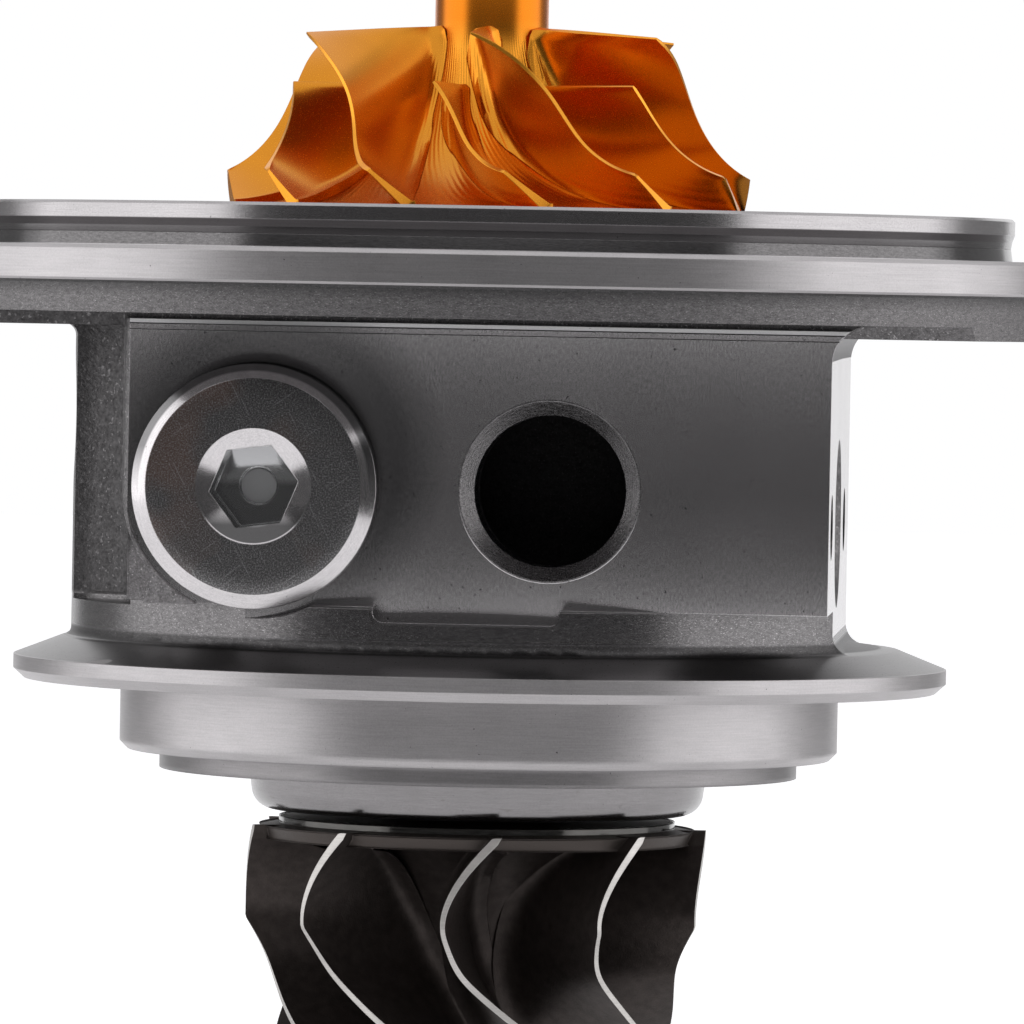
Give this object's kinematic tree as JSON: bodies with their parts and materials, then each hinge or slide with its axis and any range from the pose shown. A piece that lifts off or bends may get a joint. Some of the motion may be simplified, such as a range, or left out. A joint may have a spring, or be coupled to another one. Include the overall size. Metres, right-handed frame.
{
  "type": "turbocharger cartridge",
  "caption": "Turbocharger centre cartridge: water-jacketed bearing housing with a V-clamp flange, whose shaft carries a compressor wheel and a turbine wheel.",
  "frame": {"origin": "rotor axis at the turbine joint face", "axes": "+Z along the rotor axis towards the compressor, +X out of the oil drain face, -Y out of the milled front face"},
  "size_m": [0.127, 0.127, 0.1262],
  "materials": {
    "housing_iron": "cast, with milled and turned faces",
    "backplate_steel": "turned",
    "anodised_aluminium": "milled and anodised, orange",
    "turbine_alloy": "dark investment casting, ground at the blade tips",
    "shield_steel": "pressed, satin",
    "plug_steel": "turned, darkened",
    "washer_aluminium": "plain",
    "shaft_steel": "ground",
    "bearing_bronze": "turned",
    "spring_steel": "oiled",
    "ring_iron": "ground",
    "seal_rubber": "moulded",
    "screw_steel": "blackened",
    "nut_steel": "turned"
  },
  "bodies": {
    "housing": {"bearing_housing": "housing_iron", "compressor_backplate": "backplate_steel", "heat_shield": "shield_steel", "jacket_plug": "plug_steel", "jacket_plug_washer": "washer_aluminium", "thrust_bearing_pins": "shaft_steel", "thrust_bearing": "bearing_bronze", "bearing_retaining_ring_1": "spring_steel", "bearing_retaining_ring_2": "spring_steel", "bearing_retaining_ring_3": "spring_steel", "bearing_retaining_ring_4": "spring_steel", "oil_deflector": "spring_steel", "compressor_piston_ring": "ring_iron", "turbine_piston_ring": "ring_iron", "backplate_o_ring": "seal_rubber", "backplate_screws": "screw_steel"},
    "rotor": {"rotor_shaft": "shaft_steel", "turbine_wheel": "turbine_alloy", "compressor_wheel": "anodised_aluminium", "thrust_collar": "shaft_steel", "oil_flinger": "shaft_steel", "shaft_lock_nut": "nut_steel"},
    "turbine_bush": {"turbine_journal_bearing": "bearing_bronze"},
    "compressor_bush": {"compressor_journal_bearing": "bearing_bronze"}
  },
  "joints": [
    {"name": "rotor_spin", "type": "hinge", "parent": "housing", "child": "rotor", "pos_m": [0, 0, 0], "axis": [0, 0, 1], "continuous": true},
    {"name": "turbine_bush_spin", "type": "hinge", "parent": "housing", "child": "turbine_bush", "pos_m": [0, 0, 0.0065], "axis": [0, 0, 1], "continuous": true},
    {"name": "compressor_bush_spin", "type": "hinge", "parent": "housing", "child": "compressor_bush", "pos_m": [0, 0, 0.029], "axis": [0, 0, 1], "continuous": true}
  ]
}
